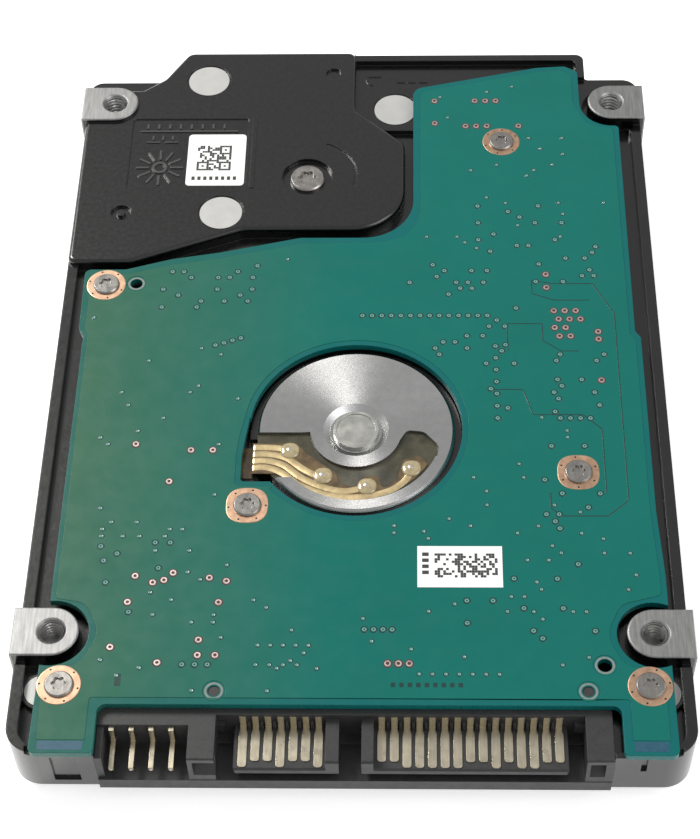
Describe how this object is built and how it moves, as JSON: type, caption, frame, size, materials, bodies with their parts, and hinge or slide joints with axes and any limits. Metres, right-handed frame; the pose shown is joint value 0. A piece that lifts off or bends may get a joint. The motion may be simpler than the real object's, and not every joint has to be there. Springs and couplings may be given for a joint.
{
  "type": "hard disk drive",
  "caption": "2.5 inch hard disk drive, circuit board side up: cast base, cover, two disks on a spindle motor, swinging head arm and serial connector.",
  "frame": {"origin": "middle of the label's face, which is the underside", "axes": "+X right seen with the connector towards the viewer, +Y from the connector to the far end, +Z out of the circuit board side"},
  "size_m": [0.0698, 0.1002, 0.0095],
  "materials": {
    "black_casting": "black coat on die-cast aluminium, semi-gloss; bare where machined",
    "cover_steel": "satin pressed sheet",
    "gasket_rubber": "matte moulded elastomer",
    "screw_steel": "plated steel, satin",
    "label_paper": "white satin label stock",
    "solder_mask": "green solder mask over copper, glossy",
    "insulator_film": "matte black film",
    "chip_epoxy": "matte moulding compound",
    "connector_plastic": "matte black glass-filled plastic",
    "contact_gold": "pale gold plating",
    "turned_steel": "face-turned, bright",
    "flex_film": "amber film with copper traces",
    "lead_resin": "clear resin over solder",
    "bearing_steel": "ground bearing steel",
    "core_steel": "laminated electrical steel",
    "copper_wire": "enamelled copper wire",
    "hub_aluminium": "turned aluminium",
    "magnet": "nickel-plated sintered magnet",
    "disk_mirror": "polished sputtered surface",
    "spring_steel": "thin stainless sheet",
    "yoke_nickel": "nickel-plated low-carbon steel",
    "head_ceramic": "ceramic slider",
    "coil_plastic": "glass-filled moulding",
    "ramp_plastic": "natural low-friction plastic",
    "bracket_steel": "stamped sheet",
    "filter_fabric": "non-woven filter cloth",
    "seal_foil": "matte aluminium foil"
  },
  "bodies": {
    "drive": {"actuator_flex": "flex_film", "air_filter": "filter_fabric", "base_casting": "black_casting", "bearing_sleeve": "bearing_steel", "board_insulator": "insulator_film", "board_screws": "screw_steel", "board_small_parts": "chip_epoxy", "breather_filter": "filter_fabric", "circuit_board": "solder_mask", "code_stickers": "label_paper", "controller_chip": "chip_epoxy", "cover": "cover_steel", "cover_gasket": "gasket_rubber", "cover_screws": "screw_steel", "crash_stops": "gasket_rubber", "head_plug": "connector_plastic", "heads_bracket": "bracket_steel", "inner_screws": "screw_steel", "jumper_pins": "contact_gold", "latch_pin": "screw_steel", "lower_magnet": "magnet", "lower_yoke": "yoke_nickel", "memory_chips": "chip_epoxy", "motor_cable": "flex_film", "motor_driver_chip": "chip_epoxy", "motor_end_plate": "bearing_steel", "motor_flange": "turned_steel", "motor_lead_joints": "lead_resin", "parking_ramp": "ramp_plastic", "pivot_screw": "screw_steel", "pivot_shaft": "bearing_steel", "power_contacts": "contact_gold", "product_label": "label_paper", "sata_housing": "connector_plastic", "service_seals": "seal_foil", "signal_contacts": "contact_gold", "stator_core": "core_steel", "stator_windings": "copper_wire", "upper_magnet": "magnet", "upper_yoke": "yoke_nickel", "yoke_posts": "spring_steel", "yoke_screws": "screw_steel"},
    "spindle": {"disk_hub": "hub_aluminium", "motor_shaft": "bearing_steel", "rotor_magnet": "magnet", "upper_disk": "disk_mirror", "lower_disk": "disk_mirror", "disk_spacer": "hub_aluminium", "disk_clamp": "spring_steel", "clamp_screw": "screw_steel"},
    "actuator": {"arm_block": "hub_aluminium", "suspensions": "spring_steel", "sliders": "head_ceramic", "voice_coil": "copper_wire", "coil_holder": "coil_plastic", "heads_circuit": "flex_film", "pivot_sleeve": "bearing_steel"},
    "ball_rows": {"pivot_balls": "bearing_steel"},
    "latch": {"latch_lever": "coil_plastic"}
  },
  "joints": [
    {"name": "spindle_spin", "type": "hinge", "parent": "drive", "child": "spindle", "pos_m": [0, -0.0098, 0.0041], "axis": [0, 0, 1], "continuous": true},
    {"name": "actuator_swing", "type": "hinge", "parent": "drive", "child": "actuator", "pos_m": [-0.0065, 0.0282, 0.0043], "axis": [0, 0, 1], "range_deg": [-35.5, 0]},
    {"name": "ball_rows_turn", "type": "hinge", "parent": "drive", "child": "ball_rows", "pos_m": [-0.0065, 0.0282, 0.0043], "axis": [0, 0, 1], "range_deg": [-20.97, 0]},
    {"name": "latch_swing", "type": "hinge", "parent": "drive", "child": "latch", "pos_m": [-0.029, 0.0202, 0.0038], "axis": [0, 0, 1], "range_deg": [-15, 0]}
  ],
  "couplings": [
    {"joint": "ball_rows_turn", "follows": "actuator_swing", "ratio": 0.588}
  ]
}
